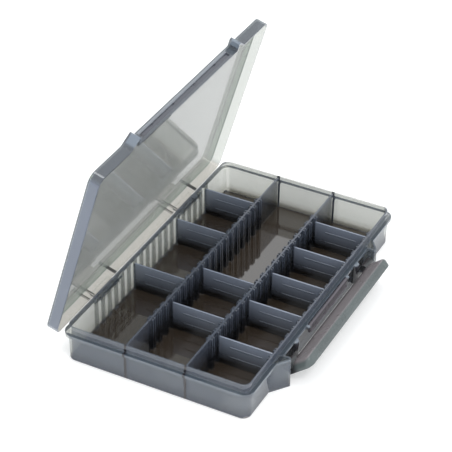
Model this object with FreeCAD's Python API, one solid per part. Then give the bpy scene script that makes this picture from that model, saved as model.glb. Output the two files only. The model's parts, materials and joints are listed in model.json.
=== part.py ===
import FreeCAD, Part
import math
import os

from FreeCAD import Vector

# A parts sorting tray with a hinged lid, a carrying handle, a latch flap and lift-out dividers.
# X runs along the long side, -Y is the front (handle and latch), +Z is up.
# The origin is the centre of the base's flat underside. All sizes are in millimetres.
# The tray is drawn as it stands in use: lid open, latch hanging, handle part way up.

# ---- driving dimensions -------------------------------------------------------------------
LENGTH = 380.0            # the lid and the tray's shoulder, along X
WIDTH = 228.0             # the lid and the tray's shoulder, along Y
SHOULDER_RADIUS = 13.0    # plan corner radii
LID_RADIUS = 11.0

WALL = 2.0
FLOOR = 2.0
WALL_LENGTH, WALL_WIDTH = 373.0, 221.0      # the tray's main wall under the shoulder
DRAFT = 1.5                                 # how much smaller the tray is at its foot
UPSTAND_LENGTH, UPSTAND_WIDTH = 371.0, 219.0
UPSTAND_RADIUS = 9.7
SHOULDER_BOTTOM, SHOULDER_TOP = 33.0, 36.5
RIM_TOP = 45.5
FOOT_RADIUS = 2.0
RIM_RADIUS = 0.6

LANES = 3
LANE_WALL_TOP = 44.0
SLOTS = 19
SLOT_PITCH = 14.3
SLOT_GAP = 2.4            # the slot that a divider stands in
RIB_THICK = 1.6
RIB_DEPTH = 3.0
RIB_TOP = 44.0
RIB_RADIUS = 1.4

DIVIDER_THICK = 1.8
DIVIDER_TOP = 37.5
DIVIDER_RADIUS = 2.4
DIVIDER_GAP = 0.3         # clear of the lane's sides and the floor
BEAD_HEIGHTS = (14.0, 27.0)
BEAD_HALF_LENGTH = 19.5
BEAD_TALL = 1.4
BEAD_PROUD = 0.5
DIVIDERS = {              # lane -> slots that hold a divider, counted from -X
    "front": (1, 6, 10, 14, 18),
    "middle": (3, 8),
    "back": (6, 13, 18),
}

LID_RIM = 37.0            # the rim of the closed lid
LID_DEPTH = 13.5
LID_WALL = 2.0
LID_EDGE_RADIUS = 1.2
LID_STEP_INSET = 18.0     # from the lid's outline to the sunk middle of its panel
LID_STEP = 0.7
CATCH_HALF_LENGTH = 98.0  # round-ended groove for the latch in the lid's front wall
CATCH_BOTTOM, CATCH_TOP = 39.8, 45.2
CATCH_DEPTH = 1.8
CATCH_TICKS = (-70.5, -23.5, 23.5, 70.5)
CATCH_TICK_WIDE = 2.4
CATCH_TICK_TALL = 1.1

LID_OPEN = 74.0           # degrees from closed, as drawn
HINGE_Y, HINGE_Z = 112.5, 29.5
HINGE_CENTRES = (-90.0, 101.0)
HINGE_WIDE = 58.0
KNUCKLE_WIDE = 9.5        # the tray's two knuckles at the ends of each hinge
KNUCKLE_RADIUS = 2.6
HINGE_PIN_RADIUS = 1.25
HINGE_LUG_TOP = 42.0
HINGE_LUG_THICK = 2.0
HINGE_POCKET_Y = 109.6    # the wall is thinned behind the lid's barrels
HINGE_BLOCK_TOP = 42.5    # pads on the upstand behind the knuckles
HINGE_BLOCK_THICK = 1.4
HINGE_RIB_DEPTH = 0.8     # ribs inside the lid's back wall at each hinge
HINGE_RIBS = ((-0.5, 0.9), (-0.33, 0.9), (0.5, 2.0))    # place along the hinge's width, thickness

LATCH_Y, LATCH_Z = -115.5, 33.5
LATCH_HALF = 49.0
LATCH_EAR_WIDE = 4.0
LATCH_BARREL_RADIUS = 1.7
LATCH_PIN_RADIUS = 0.9
LATCH_THICK = 2.4
LATCH_LENGTH = 8.4
LATCH_LIP_AT = 7.6        # from the axis to the lip that enters the lid's groove
LATCH_LIP_TALL = 1.2
LATCH_LIP_PROUD = 1.1
LATCH_TAB_PROUD = 0.6
LATCH_TAB_TALL = 1.7
POST_X = 79.0             # round posts on the front wall beside the latch
POST_Y = -112.8
POST_RADIUS = 4.6
POST_BOTTOM, POST_TOP = 8.0, 35.0
POST_ROUND = 2.0

WEDGE_INNER, WEDGE_TIP, WEDGE_OUTER = 110.0, 113.0, 132.5
WEDGE_WALL_Y = -110.0
WEDGE_TIP_Y = -124.5
WEDGE_STEEP_Y = -122.5
WEDGE_WALL = 1.8
WEDGE_ROUND = 1.2

PIVOT_Y, PIVOT_Z = -118.0, 20.4
HANDLE_TILT = 39.0        # above horizontal, as drawn
HANDLE_HALF = 106.0
ARM_WIDE = 14.0
HANDLE_THICK = 11.0
HANDLE_OFFSET = -5.35     # from the pivot axis to the middle of the handle's thickness
GRIP_FROM, GRIP_TO = 3.0, 27.2
HANDLE_CORNER = 8.5       # outer corner radius of the bail
HANDLE_CROOK = 5.0        # inner corner radius, where an arm meets the grip
HANDLE_BOSS_RADIUS = 4.5
TRUNNION_RADIUS = 2.5
HANDLE_ROUND = 0.9
GRIP_ROUND = 3.0          # along the edge of the grip that the fingers curl over

RUNNING_FIT = 0.05        # radial clearance of the pins and trunnions
GAP = 0.3                 # between pieces that move past each other

# ---- derived places -----------------------------------------------------------------------
CAVITY_LENGTH = UPSTAND_LENGTH - 2 * WALL
CAVITY_WIDTH = UPSTAND_WIDTH - 2 * WALL
LANE_WIDTH = (CAVITY_WIDTH - (LANES - 1) * WALL) / LANES
LANE_CENTRES = {
    "front": -(LANE_WIDTH + WALL),
    "middle": 0.0,
    "back": LANE_WIDTH + WALL,
}
LANE_WALLS = (-(LANE_WIDTH + WALL) / 2, (LANE_WIDTH + WALL) / 2)
FRONT_WALL_Y = -WIDTH / 2


def slot_x(index):
    return (index - (SLOTS - 1) / 2) * SLOT_PITCH


# ---- shape helpers ------------------------------------------------------------------------
def rounded_rectangle(length, width, radius, z):
    """A closed wire, centred on the origin, with arcs at its corners."""
    x, y = length / 2, width / 2
    bend = radius * (1 - math.sqrt(0.5))
    edges = []
    corners = ((1, 1), (-1, 1), (-1, -1), (1, -1))
    for i, (sx, sy) in enumerate(corners):
        if sx * sy > 0:
            start = Vector(sx * x, sy * (y - radius), z)
            end = Vector(sx * (x - radius), sy * y, z)
        else:
            start = Vector(sx * (x - radius), sy * y, z)
            end = Vector(sx * x, sy * (y - radius), z)
        middle = Vector(sx * (x - bend), sy * (y - bend), z)
        if edges:
            edges.append(Part.LineSegment(last, start).toShape())
        else:
            first = start
        edges.append(Part.Arc(start, middle, end).toShape())
        last = end
    edges.append(Part.LineSegment(last, first).toShape())
    return Part.Wire(edges)


def plate(length, width, radius, low, high):
    """A rounded rectangular slab from z = low to z = high."""
    face = Part.Face(rounded_rectangle(length, width, radius, low))
    return face.extrude(Vector(0, 0, high - low))


def block(x0, x1, y0, y1, z0, z1):
    return Part.makeBox(x1 - x0, y1 - y0, z1 - z0, Vector(x0, y0, z0))


def rod(radius, x0, x1, y, z):
    """A round bar along X."""
    return Part.makeCylinder(radius, x1 - x0, Vector(x0, y, z), Vector(1, 0, 0))


def prism_x(points, x0, x1):
    """A polygon of (y, z) points, extruded along X."""
    corners = [Vector(x0, y, z) for y, z in points]
    face = Part.Face(Part.makePolygon(corners + corners[:1]))
    return face.extrude(Vector(x1 - x0, 0, 0))


def prism_z(points, z0, z1):
    """A polygon of (x, y) points, extruded along Z."""
    corners = [Vector(x, y, z0) for x, y in points]
    face = Part.Face(Part.makePolygon(corners + corners[:1]))
    return face.extrude(Vector(0, 0, z1 - z0))


def turned(shape, degrees, y, z):
    """A copy turned about the line through (y, z) along +X."""
    copy = shape.copy()
    copy.rotate(Vector(0, y, z), Vector(1, 0, 0), degrees)
    return copy


def edges_where(shape, test):
    """The edges whose box passes a test of its low and high corners."""
    found = []
    for edge in shape.Edges:
        box = edge.BoundBox
        low = Vector(box.XMin, box.YMin, box.ZMin)
        high = Vector(box.XMax, box.YMax, box.ZMax)
        if test(low, high):
            found.append(edge)
    return found


def flat_edges(shape, z):
    """The edges that lie in the plane at height z."""
    near = 0.001
    return edges_where(shape, lambda low, high: abs(low.z - z) < near and abs(high.z - z) < near)


# ---- base tray ----------------------------------------------------------------------------
def tray_walls():
    foot = rounded_rectangle(WALL_LENGTH - DRAFT, WALL_WIDTH - DRAFT, UPSTAND_RADIUS, 0)
    head = rounded_rectangle(WALL_LENGTH, WALL_WIDTH, UPSTAND_RADIUS + DRAFT / 2, SHOULDER_BOTTOM)
    body = Part.makeLoft([foot, head], True, True)
    body = body.makeFillet(FOOT_RADIUS, flat_edges(body, 0))
    shoulder = plate(LENGTH, WIDTH, SHOULDER_RADIUS, SHOULDER_BOTTOM, SHOULDER_TOP)
    upstand = plate(UPSTAND_LENGTH, UPSTAND_WIDTH, UPSTAND_RADIUS, SHOULDER_TOP, RIM_TOP)
    body = body.multiFuse([shoulder, upstand])
    cavity_radius = UPSTAND_RADIUS - WALL
    body = body.cut(plate(CAVITY_LENGTH, CAVITY_WIDTH, cavity_radius, FLOOR, RIM_TOP + WALL))
    return body.makeFillet(RIM_RADIUS, flat_edges(body, RIM_TOP))


def wall_rib(x, wall_y, side):
    """One guide rib on a wall's face. side is +1 when it stands towards +Y."""
    tip = wall_y + side * RIB_DEPTH
    root = wall_y - side * WALL / 2
    shoulder_z = RIB_TOP - RIB_RADIUS
    bend = RIB_RADIUS * (1 - math.sqrt(0.5))
    x0 = x - RIB_THICK / 2
    points = [
        Vector(x0, root, FLOOR - WALL / 2),
        Vector(x0, tip, FLOOR - WALL / 2),
        Vector(x0, tip, shoulder_z),
        Vector(x0, tip - side * RIB_RADIUS, RIB_TOP),
        Vector(x0, root, RIB_TOP),
    ]
    middle = Vector(x0, tip - side * bend, RIB_TOP - bend)
    edges = [
        Part.LineSegment(points[0], points[1]).toShape(),
        Part.LineSegment(points[1], points[2]).toShape(),
        Part.Arc(points[2], middle, points[3]).toShape(),
        Part.LineSegment(points[3], points[4]).toShape(),
        Part.LineSegment(points[4], points[0]).toShape(),
    ]
    return Part.Face(Part.Wire(edges)).extrude(Vector(RIB_THICK, 0, 0))


def slot_ribs():
    """Pairs of ribs on every face that looks into a lane."""
    faces = [(-CAVITY_WIDTH / 2, 1), (CAVITY_WIDTH / 2, -1)]
    for y in LANE_WALLS:
        faces += [(y + WALL / 2, 1), (y - WALL / 2, -1)]
    offset = (SLOT_GAP + RIB_THICK) / 2
    ribs = []
    for index in range(SLOTS):
        for x in (slot_x(index) - offset, slot_x(index) + offset):
            ribs += [wall_rib(x, y, side) for y, side in faces]
    return ribs


def wedge_outline(side, inset=0.0):
    """The plan of a wedge beside the handle, on the +X or -X side, optionally hollowed."""
    slope = math.atan2(WEDGE_WALL_Y - WEDGE_TIP_Y, WEDGE_OUTER - WEDGE_TIP)
    shift = inset / math.sin(slope)
    root = WEDGE_WALL_Y - (WALL / 2 if inset else -WALL / 2)
    lean = (root - WEDGE_TIP_Y) / math.tan(slope)
    points = [
        (WEDGE_INNER + inset, root),
        (WEDGE_INNER + inset, WEDGE_STEEP_Y + inset / 2),
        (WEDGE_TIP, WEDGE_TIP_Y + 1.35 * inset),
        (WEDGE_TIP + lean - shift, root),
    ]
    return [(side * x, y) for x, y in points]


def base_wedge(side):
    """A hollow, open-topped wedge that guards one end of the handle and holds its trunnion."""
    shell = prism_z(wedge_outline(side), 0, SHOULDER_TOP)
    near = WEDGE_STEEP_Y + GAP
    tip = edges_where(shell, lambda low, high: high.y < near and high.z - low.z > SHOULDER_TOP / 2)
    shell = shell.makeFillet(WEDGE_ROUND, tip)
    hollow = prism_z(wedge_outline(side, WEDGE_WALL), FLOOR, SHOULDER_TOP + 1)
    reach = (side * (WEDGE_INNER - 1), side * (WEDGE_INNER + WEDGE_WALL + 1))
    bore = rod(TRUNNION_RADIUS + RUNNING_FIT, min(reach), max(reach), PIVOT_Y, PIVOT_Z)
    return shell, hollow, bore


def base_knuckles():
    """The tray's two fixed knuckles at each hinge, under the shoulder."""
    knuckles = []
    for centre in HINGE_CENTRES:
        for end in (-1, 1):
            middle = centre + end * (HINGE_WIDE - KNUCKLE_WIDE) / 2
            x0, x1 = middle - KNUCKLE_WIDE / 2, middle + KNUCKLE_WIDE / 2
            low = HINGE_Z - KNUCKLE_RADIUS
            knuckles.append(rod(KNUCKLE_RADIUS, x0, x1, HINGE_Y, HINGE_Z))
            knuckles.append(block(x0, x1, HINGE_Y - 3, HINGE_Y, low, SHOULDER_BOTTOM + 0.5))
            top = HINGE_Y + min(KNUCKLE_RADIUS, WIDTH / 2 - HINGE_Y)
            knuckles.append(block(x0, x1, HINGE_Y - 1, top, HINGE_Z, SHOULDER_BOTTOM + 0.5))
            pad_y = UPSTAND_WIDTH / 2
            knuckles.append(block(x0, x1, pad_y - 0.5, pad_y + HINGE_BLOCK_THICK,
                                  SHOULDER_TOP - 0.5, HINGE_BLOCK_TOP))
    return knuckles


def latch_ears():
    ears = []
    for side in (-1, 1):
        inner = side * (LATCH_HALF + GAP)
        outer = side * (LATCH_HALF + GAP + LATCH_EAR_WIDE)
        x0, x1 = min(inner, outer), max(inner, outer)
        ears.append(rod(LATCH_BARREL_RADIUS, x0, x1, LATCH_Y, LATCH_Z))
        low, high = LATCH_Z - LATCH_BARREL_RADIUS, LATCH_Z + LATCH_BARREL_RADIUS
        ears.append(block(x0, x1, LATCH_Y, FRONT_WALL_Y + 1.5, low, high))
    return ears


def front_posts():
    """Round-topped posts against the front wall, clear of the tray's inside."""
    posts = []
    inside = block(-LENGTH, LENGTH, -CAVITY_WIDTH / 2 - WALL / 2, 0, 0, RIM_TOP)
    for side in (-1, 1):
        foot = Vector(side * POST_X, POST_Y, POST_BOTTOM)
        post = Part.makeCylinder(POST_RADIUS, POST_TOP - POST_BOTTOM, foot)
        post = post.makeFillet(POST_ROUND, flat_edges(post, POST_TOP) + flat_edges(post, POST_BOTTOM))
        posts.append(post.cut(inside))
    return posts


def base_tray():
    body = tray_walls()
    half = CAVITY_LENGTH / 2 + WALL / 2
    lanes = [
        block(-half, half, y - WALL / 2, y + WALL / 2, FLOOR - WALL / 2, LANE_WALL_TOP)
        for y in LANE_WALLS
    ]
    wedges = [base_wedge(side) for side in (-1, 1)]
    body = body.multiFuse(lanes + slot_ribs() + [shell for shell, _, _ in wedges])
    room = LATCH_HALF + GAP
    latch_room = block(-room, room, LATCH_Y, LATCH_Y + LATCH_BARREL_RADIUS + 2 * GAP,
                       SHOULDER_BOTTOM - 1, SHOULDER_TOP + 1)
    cuts = [hollow for _, hollow, _ in wedges] + [bore for _, _, bore in wedges] + [latch_room]
    for centre in HINGE_CENTRES:
        inner = HINGE_WIDE / 2 - KNUCKLE_WIDE
        cuts.append(block(centre - inner, centre + inner, HINGE_POCKET_Y, HINGE_Y,
                          HINGE_Z - KNUCKLE_RADIUS - 2 * GAP, SHOULDER_BOTTOM))
    body = body.cut(Part.makeCompound(cuts))
    body = body.multiFuse(base_knuckles() + latch_ears() + front_posts())
    bores = []
    for centre in HINGE_CENTRES:
        reach = HINGE_WIDE / 2 - 1
        bores.append(rod(HINGE_PIN_RADIUS, centre - reach, centre + reach, HINGE_Y, HINGE_Z))
    reach = LATCH_HALF + GAP + LATCH_EAR_WIDE
    bores.append(rod(LATCH_PIN_RADIUS, -reach - 1, reach + 1, LATCH_Y, LATCH_Z))
    return body.cut(Part.makeCompound(bores)).removeSplitter()


# ---- lid ----------------------------------------------------------------------------------
def closed_lid():
    top = LID_RIM + LID_DEPTH
    outside = plate(LENGTH, WIDTH, LID_RADIUS, LID_RIM, top)
    bumps = [prism_z(wedge_outline(side), LID_RIM, top) for side in (-1, 1)]
    outside = outside.multiFuse(bumps).removeSplitter()
    outside = outside.makeFillet(LID_EDGE_RADIUS, flat_edges(outside, top))
    inside = plate(LENGTH - 2 * LID_WALL, WIDTH - 2 * LID_WALL, LID_RADIUS - LID_WALL,
                   LID_RIM - 1, top - LID_WALL)
    hollows = [
        prism_z(wedge_outline(side, WEDGE_WALL), LID_RIM - 1, top - LID_WALL)
        for side in (-1, 1)
    ]
    body = outside.cut(Part.makeCompound([inside] + hollows))
    groove = block(-CATCH_HALF_LENGTH, CATCH_HALF_LENGTH, FRONT_WALL_Y - 1, FRONT_WALL_Y + CATCH_DEPTH,
                   CATCH_BOTTOM, CATCH_TOP)
    across = edges_where(groove, lambda low, high: high.y - low.y > CATCH_DEPTH)
    groove = groove.makeFillet((CATCH_TOP - CATCH_BOTTOM) / 2 - 0.1, across)
    catch_back = block(-CATCH_HALF_LENGTH - LID_WALL, CATCH_HALF_LENGTH + LID_WALL,
                       FRONT_WALL_Y + LID_WALL / 2, FRONT_WALL_Y + LID_WALL + CATCH_DEPTH - 0.8,
                       LID_RIM, top - LID_WALL / 2)
    body = body.fuse(catch_back).cut(groove)
    half = CATCH_TICK_WIDE / 2
    ticks = [
        block(x - half, x + half, FRONT_WALL_Y, FRONT_WALL_Y + CATCH_DEPTH + 0.5,
              CATCH_TOP - CATCH_TICK_TALL, CATCH_TOP + 0.5)
        for x in CATCH_TICKS
    ]
    sunk = plate(LENGTH - 2 * LID_STEP_INSET, WIDTH - 2 * LID_STEP_INSET, LID_RADIUS,
                 top - LID_STEP, top + 1)
    body = body.multiFuse(ticks + hinge_ribs()).cut(sunk)
    return body.multiFuse(lid_lugs()).cut(Part.makeCompound(lid_bores())).removeSplitter()


def hinge_ribs():
    """Upright ribs on the inside of the lid's back wall, at the ends of each hinge."""
    inner = WIDTH / 2 - LID_WALL
    ribs = []
    for centre in HINGE_CENTRES:
        for place, thick in HINGE_RIBS:
            x = centre + place * HINGE_WIDE
            ribs.append(block(x - thick / 2, x + thick / 2, inner - HINGE_RIB_DEPTH, inner + 0.5,
                              LID_RIM, LID_RIM + LID_DEPTH - LID_WALL + 0.5))
    return ribs


def lid_lugs():
    """The arms that reach down past the shoulder to the lid's barrels."""
    lugs = []
    inner_y = WIDTH / 2 + GAP
    outer_y = inner_y + HINGE_LUG_THICK
    for centre in HINGE_CENTRES:
        half = HINGE_WIDE / 2 - KNUCKLE_WIDE - GAP
        x0, x1 = centre - half, centre + half
        lugs.append(block(x0, x1, inner_y, outer_y, HINGE_Z, HINGE_LUG_TOP))
        lugs.append(block(x0, x1, WIDTH / 2 - LID_WALL / 2, outer_y, LID_RIM, HINGE_LUG_TOP))
        lugs.append(rod(KNUCKLE_RADIUS, x0, x1, HINGE_Y, HINGE_Z))
        lugs.append(block(x0, x1, HINGE_Y, inner_y + 0.5, HINGE_Z, HINGE_Z + KNUCKLE_RADIUS - GAP))
    return lugs


def lid_bores():
    radius = HINGE_PIN_RADIUS + RUNNING_FIT
    reach = HINGE_WIDE / 2
    return [rod(radius, c - reach, c + reach, HINGE_Y, HINGE_Z) for c in HINGE_CENTRES]


def lid():
    return turned(closed_lid(), -LID_OPEN, HINGE_Y, HINGE_Z)


def hinge_pin(centre):
    reach = HINGE_WIDE / 2 - 1
    return rod(HINGE_PIN_RADIUS, centre - reach, centre + reach, HINGE_Y, HINGE_Z)


# ---- latch --------------------------------------------------------------------------------
def closed_latch():
    """The flap standing up in front of the lid's groove."""
    back = FRONT_WALL_Y - GAP - 0.1
    front = back - LATCH_THICK
    top = LATCH_Z + LATCH_LENGTH
    flap = block(-LATCH_HALF, LATCH_HALF, front, back, LATCH_Z, top)
    barrel = rod(LATCH_BARREL_RADIUS, -LATCH_HALF, LATCH_HALF, LATCH_Y, LATCH_Z)
    lip_low = LATCH_Z + LATCH_LIP_AT - LATCH_LIP_TALL / 2
    lip = prism_x([
        (back - 0.5, lip_low - LATCH_LIP_TALL / 2),
        (back, lip_low - LATCH_LIP_TALL / 2),
        (back + LATCH_LIP_PROUD, lip_low + LATCH_LIP_TALL / 2),
        (back + LATCH_LIP_PROUD, lip_low + LATCH_LIP_TALL),
        (back - 0.5, lip_low + LATCH_LIP_TALL),
    ], -LATCH_HALF + 2, LATCH_HALF - 2)
    tab = prism_x([
        (front + 0.5, top - LATCH_TAB_TALL),
        (front, top - LATCH_TAB_TALL),
        (front - LATCH_TAB_PROUD, top - LATCH_TAB_TALL * 0.55),
        (front - LATCH_TAB_PROUD, top),
        (front + 0.5, top),
    ], -LATCH_HALF + 6, LATCH_HALF - 6)
    body = barrel.multiFuse([flap, lip, tab])
    bore = rod(LATCH_PIN_RADIUS + RUNNING_FIT, -LATCH_HALF - 1, LATCH_HALF + 1, LATCH_Y, LATCH_Z)
    return body.cut(bore)


def latch_flap():
    return turned(closed_latch(), 180, LATCH_Y, LATCH_Z).removeSplitter()


def latch_pin():
    reach = LATCH_HALF + GAP + LATCH_EAR_WIDE
    return rod(LATCH_PIN_RADIUS, -reach, reach, LATCH_Y, LATCH_Z)


# ---- handle -------------------------------------------------------------------------------
def stowed_handle():
    """The bail standing up against the front, its arms running along Z from the pivots."""
    low, high = PIVOT_Z - HANDLE_BOSS_RADIUS, PIVOT_Z + GRIP_TO
    grip_low = PIVOT_Z + GRIP_FROM
    y0 = PIVOT_Y + HANDLE_OFFSET - HANDLE_THICK / 2
    inner = HANDLE_HALF - ARM_WIDE
    bail = block(-HANDLE_HALF, HANDLE_HALF, y0, y0 + HANDLE_THICK, low, high)
    opening = block(-inner, inner, y0 - 1, y0 + HANDLE_THICK + 1, low - 1, grip_low)
    palm = edges_where(bail, lambda a, b: a.z > high - 0.01 and a.y > y0 + HANDLE_THICK - 0.01)
    bail = bail.makeFillet(GRIP_ROUND, palm)

    def top_corner(low_corner, high_corner):
        across = high_corner.y - low_corner.y > HANDLE_THICK - GRIP_ROUND - 0.01
        return across and low_corner.z > grip_low - 0.01

    opening = opening.makeFillet(HANDLE_CROOK, edges_where(opening, top_corner))
    bail = bail.makeFillet(HANDLE_CORNER, edges_where(bail, top_corner)).cut(opening)

    def rim_edge(low_corner, high_corner):
        flat = high_corner.y - low_corner.y < 0.01
        return flat and high_corner.z > low + 0.01

    bail = bail.makeFillet(HANDLE_ROUND, edges_where(bail, rim_edge))
    parts = []
    for side in (-1, 1):
        boss = (side * inner, side * (WEDGE_INNER - GAP))
        parts.append(rod(HANDLE_BOSS_RADIUS, min(boss), max(boss), PIVOT_Y, PIVOT_Z))
        tip = (side * inner, side * (WEDGE_INNER + WEDGE_WALL))
        parts.append(rod(TRUNNION_RADIUS, min(tip), max(tip), PIVOT_Y, PIVOT_Z))
    return bail.multiFuse(parts).removeSplitter()


def handle():
    return turned(stowed_handle(), 90 - HANDLE_TILT, PIVOT_Y, PIVOT_Z)


# ---- dividers -----------------------------------------------------------------------------
def divider(lane, index):
    x, y = slot_x(index), LANE_CENTRES[lane]
    half = LANE_WIDTH / 2 - DIVIDER_GAP
    low = FLOOR + DIVIDER_GAP
    panel = block(x - DIVIDER_THICK / 2, x + DIVIDER_THICK / 2, y - half, y + half, low, DIVIDER_TOP)
    corners = edges_where(panel, lambda a, b: b.x - a.x > DIVIDER_THICK - 0.01)
    panel = panel.makeFillet(DIVIDER_RADIUS, corners)
    face = x - DIVIDER_THICK / 2
    beads = [
        block(face - BEAD_PROUD, face + 0.5, y - BEAD_HALF_LENGTH, y + BEAD_HALF_LENGTH,
              z - BEAD_TALL / 2, z + BEAD_TALL / 2)
        for z in BEAD_HEIGHTS
    ]
    return panel.multiFuse(beads).removeSplitter()


def main():
    os.makedirs("parts", exist_ok=True)
    nodes = {
        "base_tray": base_tray(),
        "lid": lid(),
        "latch_flap": latch_flap(),
        "latch_pin": latch_pin(),
        "handle": handle(),
    }
    for name, centre in zip(("left", "right"), HINGE_CENTRES):
        nodes[f"hinge_pin_{name}"] = hinge_pin(centre)
    for lane, indices in DIVIDERS.items():
        for count, index in enumerate(indices, 1):
            nodes[f"divider_{lane}_{count}"] = divider(lane, index)
    for name, shape in nodes.items():
        box = shape.BoundBox
        print(f"{name:20s} {shape.isValid()} {len(shape.Solids)} solid {shape.Volume / 1000:8.2f} cm3",
              f"y {box.YMin:.1f}..{box.YMax:.1f} z {box.ZMin:.1f}..{box.ZMax:.1f}")
        shape.exportStep(f"parts/{name}.step")


main()
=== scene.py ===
import json
import math

import bmesh
import bpy
from mathutils import Matrix, Vector


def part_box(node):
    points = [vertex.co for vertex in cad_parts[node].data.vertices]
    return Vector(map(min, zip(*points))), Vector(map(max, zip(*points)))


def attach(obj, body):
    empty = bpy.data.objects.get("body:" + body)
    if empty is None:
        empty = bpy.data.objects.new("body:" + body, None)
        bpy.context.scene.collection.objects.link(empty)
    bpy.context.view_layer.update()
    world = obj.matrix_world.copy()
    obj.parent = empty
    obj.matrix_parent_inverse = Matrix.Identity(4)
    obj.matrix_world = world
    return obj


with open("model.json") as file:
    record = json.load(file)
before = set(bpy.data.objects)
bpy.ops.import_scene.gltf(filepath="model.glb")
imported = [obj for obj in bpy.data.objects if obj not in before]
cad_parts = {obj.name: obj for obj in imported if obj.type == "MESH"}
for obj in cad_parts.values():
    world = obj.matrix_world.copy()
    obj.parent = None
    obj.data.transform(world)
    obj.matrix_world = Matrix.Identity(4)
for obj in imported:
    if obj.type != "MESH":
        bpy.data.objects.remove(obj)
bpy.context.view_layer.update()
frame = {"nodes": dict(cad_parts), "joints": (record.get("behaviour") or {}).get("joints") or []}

MM = 0.001


def joint_named(name):
    return next(joint for joint in frame["joints"] if joint["name"] == name)


HINGE = Vector(joint_named("lid_hinge")["pos_m"])
LID_OPEN = -joint_named("lid_hinge")["range_deg"][0]
PIVOT = Vector(joint_named("handle_hinge")["pos_m"])
HANDLE_RAISED = joint_named("handle_hinge")["range_deg"][1]

WALL = 2 * MM               # the thickness of the tray's and the lid's walls
SHOULDER_PROUD = 3.5 * MM   # from the main wall out to the shoulder's edge
RIM_INSET = 4.5 * MM        # from the shoulder's edge in to the upstand

# The tray's heights
RIM_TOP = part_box("base_tray")[1].z
LANE_TOP = RIM_TOP - 1.5 * MM
SHOULDER_TOP = RIM_TOP - 9 * MM
DIVIDER_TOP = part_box("divider_front_1")[1].z
FLOOR_TOP = WALL

# The tray's lengths along X and widths along Y, as halves from its middle
SHOULDER_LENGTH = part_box("base_tray")[1].x
SHOULDER_WIDTH = 114 * MM
RIM_LENGTH = SHOULDER_LENGTH - RIM_INSET
RIM_WIDTH = SHOULDER_WIDTH - RIM_INSET
END_WALL = SHOULDER_LENGTH - SHOULDER_PROUD - WALL      # the inner face of an end wall
LONG_FACE = SHOULDER_WIDTH - SHOULDER_PROUD             # the outer face of the front wall
LONG_WALL = LONG_FACE - WALL                            # the inner face of a long wall
WEDGE_INNER = 110 * MM      # the inner side of the wedges that guard the handle's ends
WALL_PLACE = 36.17 * MM     # the middle of a lane wall
LANE_SIDE = 42 * MM         # just past a lane wall's ribs

# The lid
LID_PANEL = 19.0 * MM       # from the hinge to the inner face of the panel, square to it
LID_FRONT = HINGE.y + SHOULDER_WIDTH - WALL     # from the hinge to the front wall's inner face
LID_END = SHOULDER_LENGTH - WALL                # the inner face of an end wall, along X
LID_BORDER = 16.0 * MM      # the width of the panel's stepped border, inside those walls
CATCH_HALF = 98 * MM        # half the length of the catch groove in the front wall
HINGE_PINS = ("hinge_pin_left", "hinge_pin_right")
HINGE_RIBS = (              # place beside a hinge's middle, and half the thickness
    (-29 * MM, 0.5 * MM),
    (-19.1 * MM, 0.5 * MM),
    (29 * MM, 1.3 * MM),
)

# Looks that several materials share
FEATHER = 0.1 * MM          # the soft border of a painted band
MIRROR_STRAIGHT = 0.04      # how much of a mirror clear plastic is, seen straight on
MIRROR_GRAZING = 0.72       # what it gains at a grazing angle
MIRROR_POWER = 5.0
EDGE_STARTS, EDGE_FULL = 0.995, 0.80     # cosine of the bend at which the edge mask for the painted edge highlights and shade starts, and is full


# ---- camera, floor and light --------------------------------------------------------------
def make_camera():
    """A long lens, high on the -X and -Y side, at a three-quarter view."""
    azimuth, elevation, roll = math.radians(-63.05), math.radians(35.02), math.radians(0.82)
    aside, above, distance = -0.01007, 0.0800, 2.0835
    flat = Vector((math.cos(azimuth), math.sin(azimuth), 0.0))
    back = Vector((
        math.sin(azimuth) * math.cos(elevation),
        -math.cos(azimuth) * math.cos(elevation),
        math.sin(elevation),
    ))
    over = back.cross(flat)
    right = math.cos(roll) * flat + math.sin(roll) * over
    up = -math.sin(roll) * flat + math.cos(roll) * over
    data = bpy.data.cameras.new("camera")
    data.sensor_width = 36.0
    data.lens = 145.7
    data.clip_end = 50.0
    camera = bpy.data.objects.new("camera", data)
    turn = Matrix((right, up, back)).transposed().to_4x4()
    place = aside * right + above * up + distance * back
    camera.matrix_world = Matrix.Translation(place) @ turn
    bpy.context.scene.collection.objects.link(camera)
    bpy.context.scene.camera = camera


def area_light(name, place, size, power, colour):
    """A round soft light, turned to the middle of the tray's underside."""
    data = bpy.data.lights.new(name, "AREA")
    data.shape = "DISK"
    data.size = size
    data.energy = power
    data.color = colour
    lamp = bpy.data.objects.new(name, data)
    lamp.location = place
    lamp.rotation_mode = "QUATERNION"
    lamp.rotation_quaternion = (-Vector(place)).to_track_quat("-Z", "Y")
    bpy.context.scene.collection.objects.link(lamp)


def make_light():
    world = bpy.data.worlds.new("studio")
    world.use_nodes = True
    background = world.node_tree.nodes["Background"]
    background.inputs["Color"].default_value = (0.96, 0.98, 1.0, 1.0)
    background.inputs["Strength"].default_value = 1.2
    bpy.context.scene.world = world
    area_light("key", place=(-0.9, -1.1, 1.9), size=0.7, power=14.0, colour=(1.0, 0.99, 0.97))
    area_light("top", place=(0.5, 0.4, 2.2), size=1.0, power=10.0, colour=(1.0, 1.0, 1.0))


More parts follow.
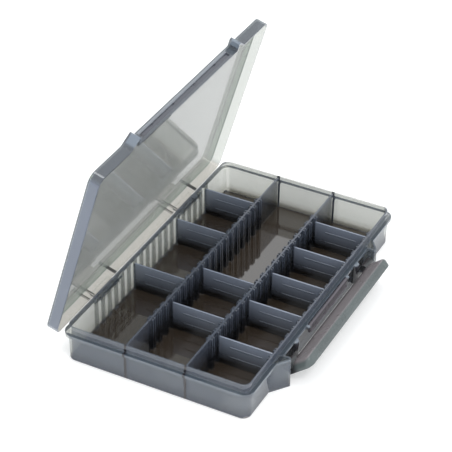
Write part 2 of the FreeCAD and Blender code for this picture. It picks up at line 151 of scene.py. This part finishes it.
def make_floor():
    """A plain floor, pale enough to run into the backdrop, just under the tray."""
    reach, drop = 6.0, 0.2 * MM
    mesh = bpy.data.meshes.new("floor")
    mesh.from_pydata(
        [(-reach, -reach, 0), (reach, -reach, 0), (reach, reach, 0), (-reach, reach, 0)],
        [], [(0, 1, 2, 3)],
    )
    floor = bpy.data.objects.new("floor", mesh)
    floor.location.z = -drop
    bpy.context.scene.collection.objects.link(floor)
    material = bpy.data.materials.new("pale_floor")
    material.use_nodes = True
    shader = material.node_tree.nodes["Principled BSDF"]
    shader.inputs["Base Color"].default_value = (0.75, 0.75, 0.75, 1.0)
    shader.inputs["Roughness"].default_value = 0.9
    shader.inputs["Specular IOR Level"].default_value = 0.0
    shader.inputs["Emission Color"].default_value = (1.0, 1.0, 1.0, 1.0)
    shader.inputs["Emission Strength"].default_value = 0.32
    mesh.materials.append(material)


# ---- building blocks for materials --------------------------------------------------------
class Nodes:
    """Short calls for building one material's node tree."""

    def __init__(self, name):
        self.material = bpy.data.materials.new(name)
        self.material.use_nodes = True
        self.tree = self.material.node_tree
        self.tree.nodes.clear()

    def fill(self, node, values):
        """Links each socket named in values, or sets it where the value is a plain one."""
        for key, value in values.items():
            if isinstance(value, bpy.types.NodeSocket):
                self.tree.links.new(value, node.inputs[key])
            else:
                node.inputs[key].default_value = value

    def add(self, kind, values=None, **settings):
        node = self.tree.nodes.new(kind)
        for key, value in settings.items():
            setattr(node, key, value)
        self.fill(node, values or {})
        return node

    def math(self, operation, a, b=0.0, c=0.0):
        node = self.add("ShaderNodeMath", {0: a, 1: b, 2: c}, operation=operation)
        return node.outputs[0]

    def both(self, a, b):
        return self.math("MULTIPLY", a, b)

    def either(self, a, b):
        return self.math("MAXIMUM", a, b)

    def blend(self, factor, a, b):
        """Colour a where factor is 0, colour b where it is 1."""
        node = self.add("ShaderNodeMix", {0: factor, 6: a, 7: b}, data_type="RGBA")
        return node.outputs[2]

    def noise(self, scale, detail, stretch=(1, 1, 1)):
        place = self.add("ShaderNodeTexCoord").outputs["Object"]
        fit = self.add("ShaderNodeMapping", {"Vector": place, "Scale": stretch})
        values = {"Vector": fit.outputs[0], "Scale": scale, "Detail": detail}
        return self.add("ShaderNodeTexNoise", values).outputs["Fac"]

    def axis(self, name):
        """One coordinate of the point, in metres, in the frame of the object at rest."""
        place = self.add("ShaderNodeTexCoord").outputs["Object"]
        return self.add("ShaderNodeSeparateXYZ", {0: place}).outputs[name]

    def ramp(self, value, low, high):
        """0 below low and 1 above high, or the other way round when low is the larger."""
        ends = {"Value": value, "From Min": low, "From Max": high, "To Min": 0.0, "To Max": 1.0}
        return self.add("ShaderNodeMapRange", ends).outputs[0]

    def band(self, value, centre, half):
        """1 within half of centre, with a soft border."""
        away = self.math("ABSOLUTE", self.math("SUBTRACT", value, centre))
        return self.ramp(away, half + FEATHER, half)

    def sharp_edges(self, radius, normal):
        """How far a point lies on a sharp edge, 0 to 1, and the normal rounded over that edge."""
        soft = self.add("ShaderNodeBevel", {"Radius": radius, "Normal": normal}, samples=6).outputs[0]
        flat = self.add("ShaderNodeNewGeometry").outputs["Normal"]
        bend = self.add("ShaderNodeVectorMath", {0: soft, 1: flat}, operation="DOT_PRODUCT")
        return self.ramp(bend.outputs["Value"], EDGE_STARTS, EDGE_FULL), soft

    def paint(self, body, solid, where, colour, amount=1.0, opacity=1.0):
        """Lays a colour over body, and makes solid at least so opaque, where the mask says."""
        body = self.blend(self.both(where, amount), body, rgb(*colour))
        return body, self.either(solid, self.both(where, opacity))

    def surface(self, shader):
        self.add("ShaderNodeOutputMaterial", {"Surface": shader.outputs[0]})
        return self.material

    def smoke(self, body, solid, rough, normal, tint, polish=0.0):
        """Smoke plastic: clear with a mirror-like skin where solid is 0, cloudy where it is 1."""
        skin = self.add("ShaderNodeBsdfPrincipled", {
            "Base Color": body, "Roughness": rough, "Normal": normal,
            "IOR": 1.58, "Specular IOR Level": 0.85,
        })
        clear = self.add("ShaderNodeBsdfTransparent", {"Color": tint})
        gloss = self.add("ShaderNodeBsdfGlossy", {
            "Color": (1, 1, 1, 1), "Roughness": rough, "Normal": normal,
        })
        facing = self.add("ShaderNodeLayerWeight", {"Blend": 0.5}).outputs["Facing"]
        grazing = self.math("POWER", facing, MIRROR_POWER)
        mirror = self.math("MULTIPLY_ADD", grazing, MIRROR_GRAZING, MIRROR_STRAIGHT)
        mirror = self.either(mirror, polish)
        sheer = self.add("ShaderNodeMixShader", {0: mirror, 1: clear.outputs[0], 2: gloss.outputs[0]})
        mixed = self.add("ShaderNodeMixShader", {0: solid, 1: sheer.outputs[0], 2: skin.outputs[0]})
        return self.surface(mixed)


def rgb(red, green, blue):
    """An sRGB colour given in 0..255, as the linear colour that a shader takes."""
    def linear(value):
        value /= 255
        return value / 12.92 if value <= 0.04045 else ((value + 0.055) / 1.055) ** 2.4
    return (linear(red), linear(green), linear(blue), 1.0)


def shade(colour, share):
    """An sRGB colour made darker or paler, as a shader takes it."""
    return rgb(*[min(255, share * part) for part in colour])


def clouded(n, colour):
    """A colour that varies a little over the moulding, and the noise that drives it."""
    cloud = n.noise(14.0, 4.0)
    flow = n.noise(5.0, 2.0, (1.0, 3.0, 1.0))
    body = n.blend(n.both(cloud, 0.25), rgb(*colour), shade(colour, 0.8))
    body = n.blend(n.both(flow, 0.15), body, shade(colour, 1.15))
    return body, cloud


def fine_grain(n, strength=0.05):
    """The normal of a moulded surface with a fine grain."""
    grain = n.noise(1400.0, 2.0)
    bump = {"Height": grain, "Strength": strength, "Distance": 0.05 * MM}
    return n.add("ShaderNodeBump", bump).outputs[0]


# ---- materials ----------------------------------------------------------------------------
def tray_smoke():
    """The tray: see-through outer walls, cloudier lane walls, and a dark brown floor."""
    n = Nodes("tray_smoke")
    x, y, z = n.axis("X"), n.axis("Y"), n.axis("Z")
    across, along = n.math("ABSOLUTE", y), n.math("ABSOLUTE", x)
    body, cloud = clouded(n, (124, 134, 151))
    # the lane walls, cloudier and darker, with painted shade that deepens towards the floor
    between_ends = n.ramp(along, END_WALL - 0.9 * MM, END_WALL - 1.3 * MM)
    inner = n.both(n.ramp(across, LANE_SIDE + 3 * MM, LANE_SIDE), between_ends)
    solid = n.math("MULTIPLY_ADD", inner, 0.40, 0.28)
    lane_smoke_and_shade = n.blend(n.ramp(z, LANE_TOP, 16 * MM), rgb(80, 87, 101), rgb(22, 24, 30))
    body = n.blend(inner, body, lane_smoke_and_shade)
    # the back and far walls, which let more light through
    back = n.ramp(y, LONG_WALL - 8.5 * MM, LONG_WALL - 4.5 * MM)
    back = n.both(back, n.ramp(z, LANE_TOP, LANE_TOP - 1 * MM))
    far = n.both(n.ramp(x, END_WALL - 0.9 * MM, END_WALL - 0.5 * MM), n.ramp(z, 4 * MM, 8 * MM))
    pale = n.either(n.both(back, 0.6), far)
    solid = n.math("SUBTRACT", solid, n.both(pale, 0.16))
    # painted shade on the rim along both long sides, and on the top of the front wall
    rim = n.ramp(across, LONG_WALL - 4.5 * MM, LONG_WALL - 1.5 * MM)
    rim = n.both(n.ramp(z, RIM_TOP - 2.1 * MM, RIM_TOP - 0.9 * MM), rim)
    front = n.ramp(y, 8.5 * MM - LONG_WALL, 3.5 * MM - LONG_WALL)
    front = n.both(front, n.ramp(z, SHOULDER_TOP - 6.5 * MM, SHOULDER_TOP - 0.5 * MM))
    rim_shade = n.either(n.both(rim, 0.85), n.both(front, 0.8))
    body, solid = n.paint(body, solid, rim_shade, (66, 72, 86), opacity=0.8)
    # painted shade on the front wall behind the handle, under the shoulder
    recess = n.ramp(y, 0.9 * MM - LONG_FACE, 0.3 * MM - LONG_FACE)
    recess = n.both(recess, n.ramp(along, WEDGE_INNER - 1 * MM, WEDGE_INNER - 4 * MM))
    under_shoulder = n.ramp(z, SHOULDER_TOP - 0.5 * MM, SHOULDER_TOP - 5.5 * MM)
    body = n.blend(n.both(recess, under_shoulder), body, rgb(40, 40, 47))
    solid = n.either(solid, n.both(recess, 0.78))
    # the floor
    inside = n.ramp(along, END_WALL + 0.1 * MM, END_WALL - 0.5 * MM)
    inside = n.both(inside, n.ramp(across, LONG_WALL + 0.1 * MM, LONG_WALL - 0.5 * MM))
    floor = n.both(n.ramp(z, FLOOR_TOP + 1.4 * MM, FLOOR_TOP + 0.2 * MM), inside)
    body, solid = n.paint(body, solid, floor, (54, 46, 38), opacity=0.95)
    # a painted line of shade in the crease round the foot of the upstand
    past_rim = n.ramp(along, RIM_LENGTH + 0.1 * MM, RIM_LENGTH + 0.5 * MM)
    past_rim = n.either(past_rim, n.ramp(across, RIM_WIDTH + 0.1 * MM, RIM_WIDTH + 0.5 * MM))
    ledge = n.both(n.band(z, SHOULDER_TOP, 0.35 * MM), past_rim)
    body, solid = n.paint(body, solid, ledge, (38, 52, 62), amount=0.85, opacity=0.85)
    # a painted highlight on the shoulder's outer face
    outmost = n.ramp(along, SHOULDER_LENGTH - 0.8 * MM, SHOULDER_LENGTH - 0.4 * MM)
    outmost = n.either(outmost, n.ramp(across, SHOULDER_WIDTH - 0.8 * MM, SHOULDER_WIDTH - 0.4 * MM))
    skirt = n.both(n.band(z, SHOULDER_TOP - 1.9 * MM, 1.3 * MM), outmost)
    body, solid = n.paint(body, solid, skirt, (130, 142, 153), amount=0.6, opacity=0.4)
    # painted shade along the foot of the outer walls
    outside = n.math("SUBTRACT", 1.0, inside)
    foot = n.both(n.ramp(z, FLOOR_TOP - 0.1 * MM, FLOOR_TOP - 1 * MM), outside)
    body, solid = n.paint(body, solid, foot, (58, 60, 72), amount=0.7, opacity=0.7)
    # the ends of the lane walls, where they meet the end walls
    in_end_wall = n.ramp(along, END_WALL - 1.5 * MM, END_WALL - 1.1 * MM)
    seam = n.both(n.band(across, WALL_PLACE, 1.4 * MM), in_end_wall)
    body, solid = n.paint(body, solid, seam, (14, 10, 18))
    # painted highlights along the edges, brightest on the lane walls' ribs and fading into shade
    # towards the floor, and painted shade along the edges of the back wall
    edge_share, soft = n.sharp_edges(0.45 * MM, fine_grain(n))
    edge = n.blend(back, rgb(150, 160, 175), rgb(70, 76, 86))
    lane_edge = n.blend(n.ramp(z, 10 * MM, 38 * MM), rgb(34, 37, 44), rgb(172, 184, 202))
    lane_top = n.ramp(z, LANE_TOP - 1 * MM, LANE_TOP - 0.4 * MM)
    lane_edge = n.blend(lane_top, lane_edge, rgb(92, 100, 114))
    edge = n.blend(inner, edge, lane_edge)
    body = n.blend(n.both(edge_share, 0.6), body, edge)
    solid = n.either(solid, n.both(edge_share, n.math("MULTIPLY_ADD", back, -0.2, 0.6)))
    # what shows through, with a painted shadow that darkens it near the floor
    rough = n.math("MULTIPLY_ADD", cloud, 0.06, 0.03)
    tint = n.blend(n.ramp(z, 3 * MM, 16 * MM), rgb(176, 173, 162), rgb(222, 223, 219))
    tint = n.blend(pale, tint, rgb(238, 238, 234))
    return n.smoke(body, solid, rough, soft, tint, polish=floor)


def hinge_lines(n, x):
    """The ribs at each hinge, which show dark through the lid's back wall."""
    shown = 0.0
    for pin in HINGE_PINS:
        low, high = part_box(pin)
        middle = (low.x + high.x) / 2
        for place, half in HINGE_RIBS:
            shown = n.either(shown, n.band(x, middle + place, half))
    return shown


def stepped_border(n, along, reach):
    """The panel's border: 1 between its walls and the step that runs round inside them."""
    soft = 0.3 * MM
    border = n.ramp(along, LID_END - LID_BORDER - soft, LID_END - LID_BORDER + soft)
    by_hinge = n.ramp(reach, -LID_BORDER - soft, -LID_BORDER + soft)
    by_front = n.ramp(reach, LID_BORDER - LID_FRONT + soft, LID_BORDER - LID_FRONT - soft)
    return n.either(n.either(border, by_hinge), by_front)


def lid_smoke():
    """The lid: a clear panel, and cloudier front and near walls, with painted shade along the edges."""
    n = Nodes("lid_smoke")
    x, y, z = n.axis("X"), n.axis("Y"), n.axis("Z")
    along = n.math("ABSOLUTE", x)
    # depth runs from the hinge towards the panel, and reach is negative towards the front wall
    lean = math.radians(LID_OPEN)
    behind, above = n.math("SUBTRACT", y, HINGE[1]), n.math("SUBTRACT", z, HINGE[2])
    depth = n.math("MULTIPLY_ADD", above, math.cos(lean), n.both(behind, math.sin(lean)))
    reach = n.math("MULTIPLY_ADD", behind, math.cos(lean), n.both(above, -math.sin(lean)))
    wall = n.ramp(depth, LID_PANEL - 0.2 * MM, LID_PANEL - 0.8 * MM)
    panel = n.ramp(depth, LID_PANEL - 0.8 * MM, LID_PANEL - 0.2 * MM)
    # the front wall and the near end wall, right out to their outer corners
    face = n.either(wall, n.ramp(reach, -LID_FRONT, -LID_FRONT - 0.6 * MM))
    front = n.both(face, n.ramp(reach, 6 * MM - LID_FRONT, 1 * MM - LID_FRONT))
    flank = n.either(wall, n.ramp(x, -LID_END, -LID_END - 0.6 * MM))
    near = n.both(flank, n.ramp(x, 5 * MM - LID_END, 1 * MM - LID_END))
    thick = n.either(front, near)
    body, cloud = clouded(n, (116, 124, 140))
    solid = n.math("MULTIPLY_ADD", thick, 0.50, 0.13)
    body = n.blend(front, body, rgb(78, 83, 91))
    bump = n.both(n.ramp(reach, -LID_FRONT - 4 * MM, -LID_FRONT - 6 * MM), wall)
    body = n.blend(bump, body, rgb(124, 135, 148))
    # the catch groove with painted shade, darkest at its near tip, and a painted highlight on the strip
    # beside it
    catch = n.both(front, n.ramp(along, CATCH_HALF + 0.4 * MM, CATCH_HALF - 0.4 * MM))
    catch_highlight = n.both(catch, n.band(depth, 17.2 * MM, 1.4 * MM))
    body = n.blend(n.both(catch_highlight, 0.7), body, rgb(140, 143, 154))
    groove = n.both(catch, n.band(depth, 12.9 * MM, 2.6 * MM))
    body, solid = n.paint(body, solid, groove, (66, 68, 80), amount=0.8, opacity=0.8)
    tip = n.both(groove, n.ramp(x, 5.5 * MM - CATCH_HALF, 3.5 * MM - CATCH_HALF))
    body = n.blend(n.both(tip, 0.9), body, rgb(24, 26, 32))
    # painted shade along the outer corners and the edges
    corner = n.both(thick, n.ramp(depth, LID_PANEL - 0.2 * MM, LID_PANEL + 0.4 * MM))
    edge_share, soft = n.sharp_edges(0.7 * MM, fine_grain(n))
    edge = n.both(n.either(edge_share, corner), 0.85)
    body, solid = n.paint(body, solid, edge, (58, 61, 73), opacity=0.8)
    # the hinges' ribs
    lines = n.both(n.ramp(reach, -12 * MM, -8 * MM), hinge_lines(n, x))
    body, solid = n.paint(body, solid, lines, (26, 29, 33), opacity=0.95)
    # what shows through: the panel, its border, and the hinge, far and thick walls
    rough = n.math("MULTIPLY_ADD", cloud, 0.06, 0.03)
    border = n.both(stepped_border(n, along, reach), panel)
    tint = n.blend(border, rgb(199, 200, 197), rgb(188, 193, 187))
    tint = n.blend(n.both(wall, n.ramp(reach, -6 * MM, -3 * MM)), tint, rgb(224, 222, 217))
    tint = n.blend(n.both(wall, n.ramp(x, LID_END - 2 * MM, LID_END)), tint, rgb(240, 241, 238))
    tint = n.blend(thick, tint, rgb(205, 211, 216))
    return n.smoke(body, solid, rough, soft, tint)


def divider_smoke():
    """The dividers: cloudy, paler at the top, with painted shade that darkens them towards the floor.
    """
    n = Nodes("divider_smoke")
    body, cloud = clouded(n, (150, 160, 178))
    # painted shade, deepening towards the floor
    rise = n.ramp(n.axis("Z"), 7 * MM, DIVIDER_TOP - 0.5 * MM)
    body = n.blend(rise, rgb(14, 14, 16), body)
    solid = n.math("MULTIPLY_ADD", rise, -0.14, 0.80)
    edge_share, soft = n.sharp_edges(0.7 * MM, fine_grain(n))
    # a painted highlight along the edges and beads
    body = n.blend(n.both(edge_share, 0.5), body, rgb(118, 126, 140))
    rough = n.math("MULTIPLY_ADD", cloud, 0.1, 0.16)
    return n.smoke(body, solid, rough, soft, rgb(190, 194, 200))


def grip_plastic(name, colour, palm, edge, inner_shade):
    """Smoke-grey plastic with a fine moulded grain, of colour palm on the face turned to the palm.

    The last argument sets how strong the painted shade along the handle's inner edge is, 0 to 1.
    """
    n = Nodes(name)
    cloud = n.noise(22.0, 4.0)
    body = n.blend(cloud, shade(colour, 0.86), shade(colour, 1.1))
    lean = math.radians(HANDLE_RAISED)
    normal = n.add("ShaderNodeTexCoord").outputs["Normal"]
    to_palm = (0.0, math.sin(lean), math.cos(lean))
    turned = n.add("ShaderNodeVectorMath", {0: normal, 1: to_palm}, operation="DOT_PRODUCT")
    body = n.blend(n.ramp(turned.outputs["Value"], 0.6, 0.9), body, rgb(*palm))
    # reach runs from the handle's pivot out to its grip
    forward = n.math("SUBTRACT", PIVOT[1], n.axis("Y"))
    above = n.math("SUBTRACT", n.axis("Z"), PIVOT[2])
    reach = n.math("MULTIPLY_ADD", forward, math.cos(lean), n.both(above, math.sin(lean)))
    # painted shade along the handle's inner edge, by the pivot
    body = n.blend(n.both(n.ramp(reach, 10 * MM, 3 * MM), inner_shade), body, rgb(40, 38, 42))
    edge_share, soft = n.sharp_edges(0.6 * MM, fine_grain(n, 0.12))
    # a painted highlight along the edges
    body = n.blend(n.both(edge_share, 0.6), body, rgb(*edge))
    rough = n.math("MULTIPLY_ADD", cloud, 0.15, 0.2)
    return n.surface(n.add("ShaderNodeBsdfPrincipled", {
        "Base Color": body, "Roughness": rough, "Normal": soft, "IOR": 1.5,
    }))


def pin_steel():
    """Steel wire, with scratches drawn out along X."""
    n = Nodes("pin_steel")
    scratch = n.noise(300.0, 3.0, (0.05, 1, 1))
    rough = n.math("MULTIPLY_ADD", scratch, 0.2, 0.2)
    body = n.blend(scratch, rgb(150, 152, 155), rgb(190, 192, 195))
    return n.surface(n.add("ShaderNodeBsdfPrincipled", {
        "Base Color": body, "Roughness": rough, "Metallic": 1.0,
    }))


# ---- the grip's ribs ----------------------------------------------------------------------
def handle_point(x, reach, rise):
    """A point given along X, along the handle from its pivot, and square to the handle's plane."""
    lean = math.radians(HANDLE_RAISED)
    y = -reach * math.cos(lean) + rise * math.sin(lean)
    z = reach * math.sin(lean) + rise * math.cos(lean)
    return PIVOT + Vector((x, y, z))


def rib_path():
    """The line a rib follows, as (reach, rise): up the end face, then over its rounded edge."""
    end_face = 27.2 * MM
    low, high = -9.6 * MM, 0.15 * MM
    bend = 3.0 * MM
    turn = math.radians(81)
    steps = 6
    path = [(end_face, low), (end_face, (low + high - bend) / 2)]
    for step in range(steps + 1):
        angle = turn * step / steps
        path.append((end_face - bend * (1 - math.cos(angle)), high - bend + bend * math.sin(angle)))
    return path


def grip_ribs(material):
    """Fine ribs across the grip's end face, which wrap over its edge towards the palm."""
    span, pitch = 90 * MM, 1.8 * MM
    half, proud, sunk = 0.62 * MM, 0.3 * MM, -0.05 * MM
    # one section of a rib: the share of its half width, and of its height
    section = ((-1, -0.5), (-0.5, 0.75), (0.5, 0.75), (1, -0.5))
    sides = len(section)
    path = rib_path()
    verts, faces = [], []
    count = int(2 * span / pitch)
    for rib in range(count + 1):
        x = (rib - count / 2) * pitch
        start = len(verts)
        for i, (reach, height) in enumerate(path):
            before, after = path[max(i - 1, 0)], path[min(i + 1, len(path) - 1)]
            run = Vector((after[0] - before[0], after[1] - before[1])).normalized()
            out = Vector((run.y, -run.x))
            at_end = i in (0, len(path) - 1)
            for side, share in section:
                rise = sunk if at_end else proud * share
                verts.append(handle_point(x + side * half, reach + out.x * rise, height + out.y * rise))
        for i in range(len(path) - 1):
            for k in range(sides):
                a = start + sides * i + k
                b = start + sides * i + (k + 1) % sides
                faces.append((a, b, b + sides, a + sides))
        last = start + sides * (len(path) - 1)
        faces.append(tuple(start + k for k in (0, 3, 2, 1)))
        faces.append(tuple(last + k for k in (0, 1, 2, 3)))
    mesh = bpy.data.meshes.new("grip_ribs")
    mesh.from_pydata(verts, [], faces)
    shape = bmesh.new()
    shape.from_mesh(mesh)
    bmesh.ops.recalc_face_normals(shape, faces=shape.faces)
    shape.to_mesh(mesh)
    shape.free()
    mesh.materials.append(material)
    ribs = bpy.data.objects.new("grip_ribs", mesh)
    bpy.context.scene.collection.objects.link(ribs)
    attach(ribs, "handle")


# ---- putting it together ------------------------------------------------------------------
def dress(node, material):
    mesh = frame["nodes"][node].data
    mesh.materials.clear()
    mesh.materials.append(material)


def main():
    make_camera()
    make_light()
    make_floor()
    dress("base_tray", tray_smoke())
    dress("lid", lid_smoke())
    grip = grip_plastic(
        "handle_smoke", colour=(80, 88, 88), palm=(124, 119, 121), edge=(140, 144, 146), inner_shade=0.8,
    )
    dress("handle", grip)
    grip_ribs(grip)
    flap = grip_plastic(
        "latch_smoke", colour=(84, 80, 86), palm=(84, 80, 86), edge=(132, 128, 136), inner_shade=0.0,
    )
    dress("latch_flap", flap)
    divider, steel = divider_smoke(), pin_steel()
    for node in frame["nodes"]:
        if "pin" in node:
            dress(node, steel)
        if node.startswith("divider"):
            dress(node, divider)
    cycles = bpy.context.scene.cycles
    cycles.max_bounces = 12
    cycles.transparent_max_bounces = 24
    cycles.use_denoising = True
    bpy.context.scene.view_settings.view_transform = "Standard"


main()
